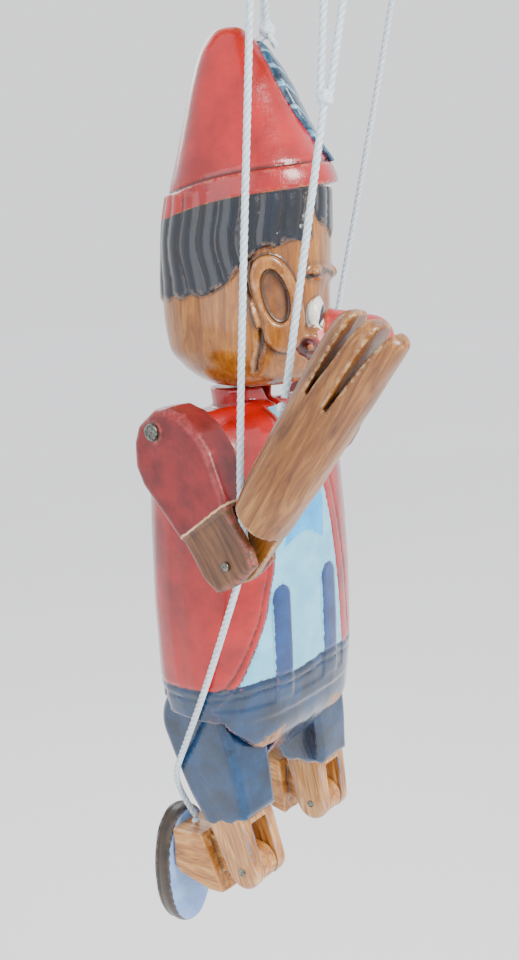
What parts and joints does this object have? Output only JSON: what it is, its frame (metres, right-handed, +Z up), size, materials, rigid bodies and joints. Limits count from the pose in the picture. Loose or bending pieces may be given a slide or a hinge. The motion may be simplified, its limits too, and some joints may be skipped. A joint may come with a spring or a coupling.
{
  "type": "marionette puppet",
  "caption": "Carved wooden marionette with pinned shoulders, elbows, hips, knees and a turning head, hung on twine strings from a wooden cross control",
  "frame": {"origin": "the grip point: a point on the upper face of the control's main bar, between its two cross bars", "axes": "+Z up, the puppet's body faces -Y and its right side is -X; its head is turned 30 degrees toward its own left (+X)"},
  "size_m": [0.1154, 0.1254, 0.315],
  "materials": {
    "jacket_red": "gloss enamel paint over carved wood: red jacket, pale cyan shirt, teal shorts",
    "carved_wood": "clear varnish over carved wood, hat and hair painted",
    "feather_blue": "gloss teal paint with pale veins",
    "peg_red": "satin red paint",
    "twine": "twisted white cotton",
    "dowel_wood": "bare turned dowel",
    "steel": "plain wire nail, slightly dulled",
    "sleeve_red": "worn satin red paint, bare stained wood at the fork",
    "limb_wood": "stained and varnished carved wood",
    "shorts_blue": "gloss teal paint above, varnished wood at the knee fork",
    "shoe_paint": "satin grey-blue paint with a dark worn rim",
    "control_wood": "bare sanded wood"
  },
  "bodies": {
    "control": {"control_main_bar": "control_wood", "control_hand_bar": "control_wood", "control_leg_bar": "control_wood", "control_nails": "steel", "control_screw_eye": "steel", "head_string": "twine", "right_hand_string": "twine", "left_hand_string": "twine", "right_leg_string": "twine", "left_leg_string": "twine"},
    "torso": {"torso_block": "jacket_red", "neck_pin": "dowel_wood", "hip_rod": "steel", "right_shoulder_nail": "steel", "left_shoulder_nail": "steel"},
    "head": {"head_block": "carved_wood", "hat_feather": "feather_blue", "nose_peg": "peg_red", "hat_knot": "twine"},
    "right_arm_upper": {"right_upper_arm": "sleeve_red", "right_elbow_pin": "steel"},
    "right_arm_lower": {"right_forearm": "limb_wood", "right_wrist_knot": "twine"},
    "left_arm_upper": {"left_upper_arm": "sleeve_red", "left_elbow_pin": "steel"},
    "left_arm_lower": {"left_forearm": "limb_wood", "left_wrist_knot": "twine"},
    "right_leg_upper": {"right_thigh": "shorts_blue", "right_knee_pin": "steel"},
    "right_leg_lower": {"right_lower_leg": "limb_wood", "right_shoe": "shoe_paint", "right_leg_knot": "twine"},
    "left_leg_upper": {"left_thigh": "shorts_blue", "left_knee_pin": "steel"},
    "left_leg_lower": {"left_lower_leg": "limb_wood", "left_shoe": "shoe_paint", "left_leg_knot": "twine"}
  },
  "joints": [
    {"name": "body_swing", "type": "hinge", "parent": "control", "child": "torso", "pos_m": [-0.00795, 0.02215, -0.015], "axis": [1, 0, 0], "range_deg": [-8, 8], "deforming": ["head_string", "right_leg_string"]},
    {"name": "neck_yaw", "type": "hinge", "parent": "torso", "child": "head", "pos_m": [-0.014, 0.024, -0.141], "axis": [0, 0, 1], "range_deg": [-75, 15]},
    {"name": "right_shoulder", "type": "hinge", "parent": "torso", "child": "right_arm_upper", "pos_m": [-0.0554, 0.0179, -0.14825], "axis": [-1, 0, 0], "range_deg": [-93, 137]},
    {"name": "right_elbow", "type": "hinge", "parent": "right_arm_upper", "child": "right_arm_lower", "pos_m": [-0.0554, -0.00427, -0.18238], "axis": [-1, 0, 0], "range_deg": [-111.6, 3.4], "deforming": ["right_hand_string"]},
    {"name": "left_shoulder", "type": "hinge", "parent": "torso", "child": "left_arm_upper", "pos_m": [0.0274, 0.0179, -0.14825], "axis": [-1, 0, 0], "range_deg": [-22, 208]},
    {"name": "left_elbow", "type": "hinge", "parent": "left_arm_upper", "child": "left_arm_lower", "pos_m": [0.0274, 0.04296, -0.18032], "axis": [-1, 0, 0], "range_deg": [-29, 86], "deforming": ["left_hand_string"]},
    {"name": "right_hip", "type": "hinge", "parent": "torso", "child": "right_leg_upper", "pos_m": [-0.0358, 0.0265, -0.241], "axis": [-1, 0, 0], "range_deg": [-46, 3]},
    {"name": "right_knee", "type": "hinge", "parent": "right_leg_upper", "child": "right_leg_lower", "pos_m": [-0.03775, 0.01001, -0.28395], "axis": [1, 0, 0], "range_deg": [-111, 8]},
    {"name": "left_hip", "type": "hinge", "parent": "torso", "child": "left_leg_upper", "pos_m": [0.0078, 0.0265, -0.241], "axis": [-1, 0, 0], "range_deg": [-35, 14]},
    {"name": "left_knee", "type": "hinge", "parent": "left_leg_upper", "child": "left_leg_lower", "pos_m": [0.00975, 0.01851, -0.2863], "axis": [1, 0, 0], "range_deg": [-118, 1], "deforming": ["left_leg_string"]}
  ]
}
